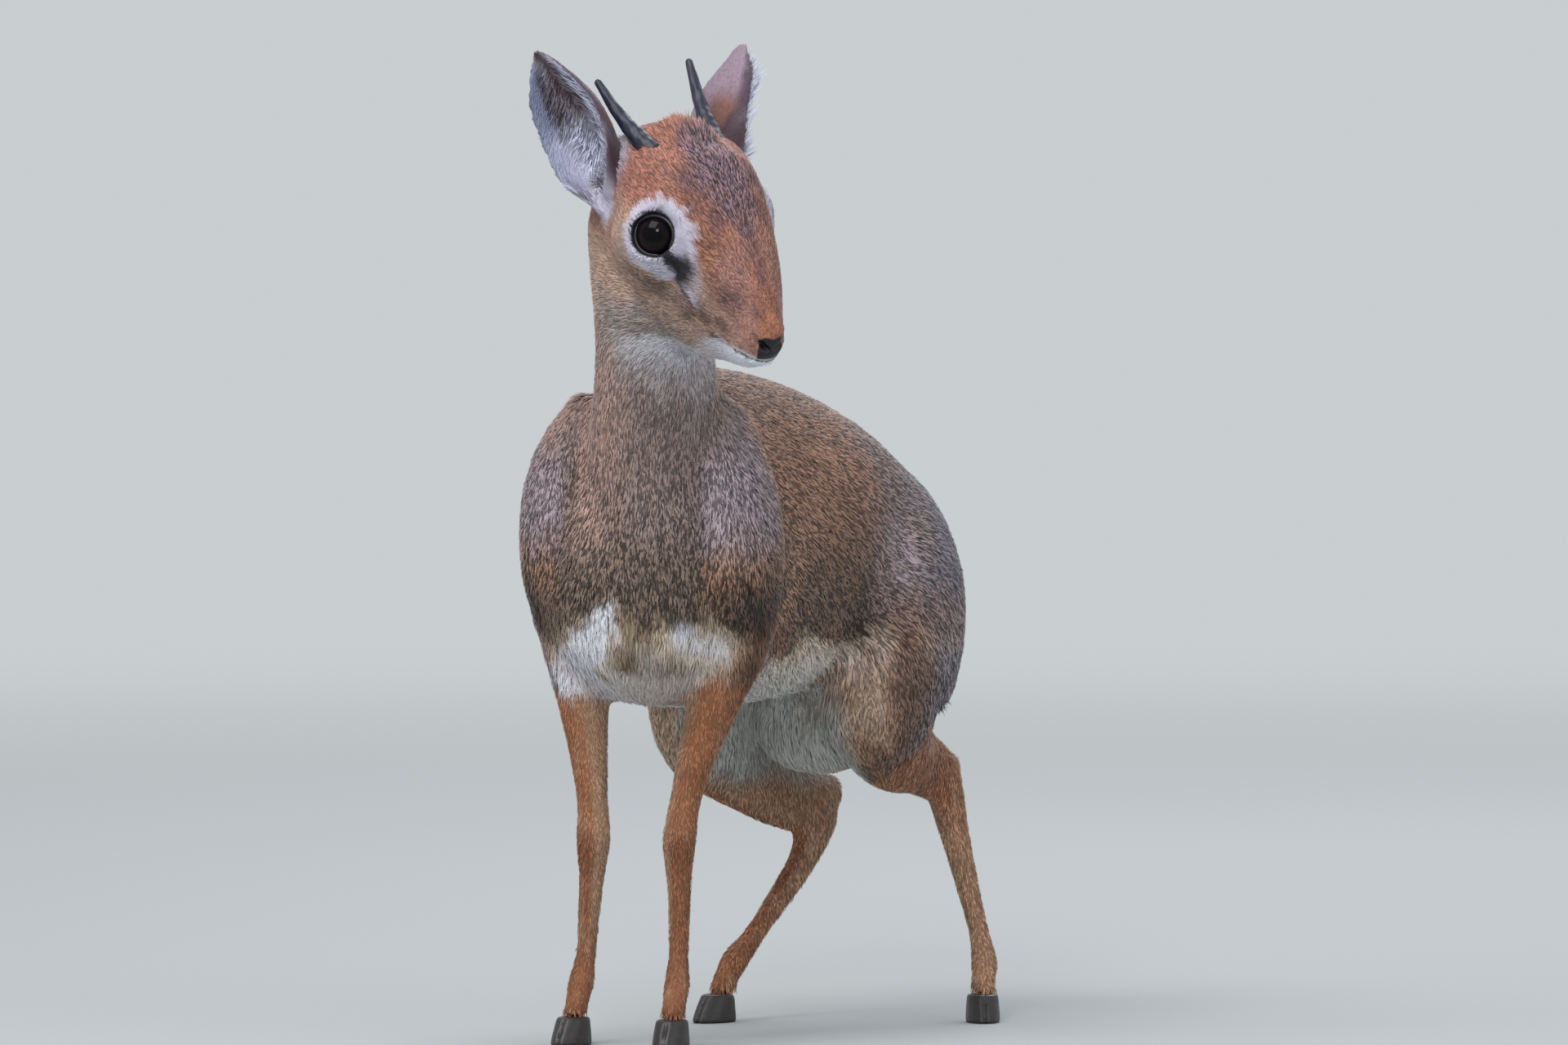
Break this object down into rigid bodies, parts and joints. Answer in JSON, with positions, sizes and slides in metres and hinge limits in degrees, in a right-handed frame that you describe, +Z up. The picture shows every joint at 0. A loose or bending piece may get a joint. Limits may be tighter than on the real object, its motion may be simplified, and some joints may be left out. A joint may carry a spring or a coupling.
{
  "type": "dik-dik model",
  "caption": "Life-size still model of a small antelope standing with its hind legs spread and its head turned to its left.",
  "frame": {"origin": "middle of the bottom of the bounding box, on the floor", "axes": "+Z up, -Y the way the chest faces, +X the animal's own left"},
  "size_m": [0.1866, 0.389, 0.5127],
  "materials": {
    "coat_brown": "short grizzled fur",
    "leg_tan": "short smooth fur",
    "head_tan": "short smooth fur",
    "ear_grey": "thin fur over skin",
    "eye_black": "wet gloss, opaque",
    "horn_black": "satin horn, ringed toward the base",
    "hoof_black": "satin horn"
  },
  "bodies": {
    "root": {"ear_left": "ear_grey", "ear_right": "ear_grey", "eye_left": "eye_black", "eye_right": "eye_black", "foreleg_left": "leg_tan", "foreleg_right": "leg_tan", "head": "head_tan", "hindleg_left": "leg_tan", "hindleg_right": "leg_tan", "hoof_foreleg_left_inner": "hoof_black", "hoof_foreleg_left_outer": "hoof_black", "hoof_foreleg_right_inner": "hoof_black", "hoof_foreleg_right_outer": "hoof_black", "hoof_hindleg_left_inner": "hoof_black", "hoof_hindleg_left_outer": "hoof_black", "hoof_hindleg_right_inner": "hoof_black", "hoof_hindleg_right_outer": "hoof_black", "horn_left": "horn_black", "horn_right": "horn_black", "neck": "coat_brown", "tail": "coat_brown", "torso": "coat_brown"}
  },
  "joints": []
}
